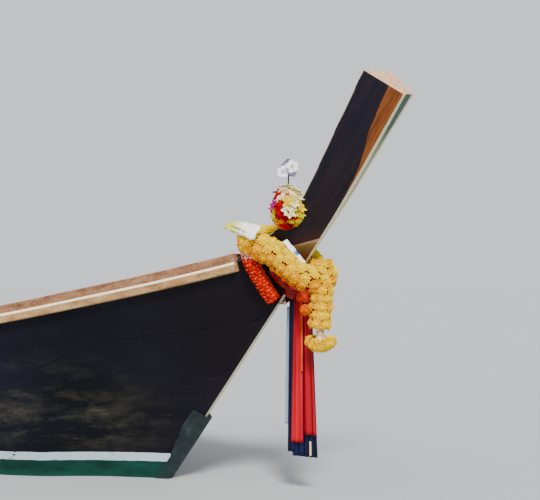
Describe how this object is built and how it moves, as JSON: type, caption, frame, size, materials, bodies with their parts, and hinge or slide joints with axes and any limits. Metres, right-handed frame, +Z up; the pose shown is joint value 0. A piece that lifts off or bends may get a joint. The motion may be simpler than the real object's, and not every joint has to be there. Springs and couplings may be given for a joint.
{
  "type": "longtail boat",
  "caption": "Wooden longtail boat with a tall prow, cloth canopy, garlands and a car-type engine whose long tail shaft swings and tilts on the stern.",
  "frame": {"origin": "on the waterline at the centre line, amidships", "axes": "+X towards the bow, +Y to port, +Z up"},
  "size_m": [13.6657, 2.0688, 2.7618],
  "materials": {
    "prow_wood": "dark painted prow with varnished brown front wood and bleached end grain",
    "black_paint": "worn near-black gloss paint on planking",
    "guard_sheathing": "grey sheathing on the forefoot",
    "rail_wood": "bare sun-bleached pinkish wood",
    "inner_wood": "worn oiled planks",
    "tube_steel": "galvanised tube",
    "dark_iron": "oily dark iron",
    "engine_grey": "worn grey engine paint",
    "engine_aluminium": "dull cast aluminium",
    "propeller_bronze": "worn bronze",
    "canopy_cloth": "faded blue canvas",
    "black_plastic": "battery box",
    "blue_plastic": "fuel drum",
    "marigold": "marigold garland flowers",
    "red_flowers": "red-orange garland flowers",
    "red_cloth": "dyed red and navy cloth"
  },
  "bodies": {
    "root": {"battery_box": "black_plastic", "canopy_bows": "tube_steel", "canopy_cover": "canopy_cloth", "canopy_side_port": "tube_steel", "canopy_side_starboard": "tube_steel", "cloth_knot": "red_cloth", "floor_panel_1": "inner_wood", "floor_panel_2": "inner_wood", "floor_panel_3": "inner_wood", "flower_cluster": "red_flowers", "foredeck": "inner_wood", "frames": "inner_wood", "fuel_tank": "blue_plastic", "garland_main": "marigold", "garland_red": "red_flowers", "gunwale_port": "rail_wood", "gunwale_starboard": "rail_wood", "hanging_cloth": "red_cloth", "keel": "black_paint", "rub_rail_lower_port": "rail_wood", "rub_rail_lower_starboard": "rail_wood", "rub_rail_upper_port": "rail_wood", "rub_rail_upper_starboard": "rail_wood", "stem_guard": "guard_sheathing", "stem_prow": "prow_wood", "stern_beam": "inner_wood", "stern_deck": "inner_wood", "strake_bilge_aft_port": "black_paint", "strake_bilge_mid_port": "black_paint", "strake_bilge_fore_port": "black_paint", "strake_bilge_aft_starboard": "black_paint", "strake_bilge_mid_starboard": "black_paint", "strake_bilge_fore_starboard": "black_paint", "strake_garboard_port": "black_paint", "strake_garboard_starboard": "black_paint", "strake_sheer_port": "black_paint", "strake_sheer_starboard": "black_paint", "strake_topside_port": "black_paint", "strake_topside_starboard": "black_paint", "swivel_post": "dark_iron", "thwart_1": "inner_wood", "thwart_2": "inner_wood", "thwart_3": "inner_wood", "thwart_4": "inner_wood", "transom": "black_paint"},
    "swivel": {"swivel_yoke": "dark_iron"},
    "tail_engine": {"engine_cradle": "dark_iron", "engine_block": "engine_grey", "engine_head": "engine_aluminium", "exhaust": "dark_iron", "air_cleaner": "engine_grey", "belt_drive": "engine_aluminium", "bell_housing": "engine_aluminium", "tail_tube": "tube_steel", "tail_brace": "tube_steel", "skeg": "dark_iron", "tiller": "tube_steel"},
    "propeller_body": {"propeller": "propeller_bronze"}
  },
  "joints": [
    {"name": "tail_swing", "type": "hinge", "parent": "root", "child": "swivel", "pos_m": [-4.6, 0, 1.25], "axis": [0, 0, 1], "range_deg": [-35, 35]},
    {"name": "tail_tilt", "type": "hinge", "parent": "swivel", "child": "tail_engine", "pos_m": [-4.6, 0, 1.25], "axis": [0, 1, 0], "range_deg": [-20, 6]},
    {"name": "propeller_spin", "type": "hinge", "parent": "tail_engine", "child": "propeller_body", "pos_m": [-7.81837, 0, 0.79769], "axis": [0.9903, 0, 0.1392], "continuous": true}
  ]
}
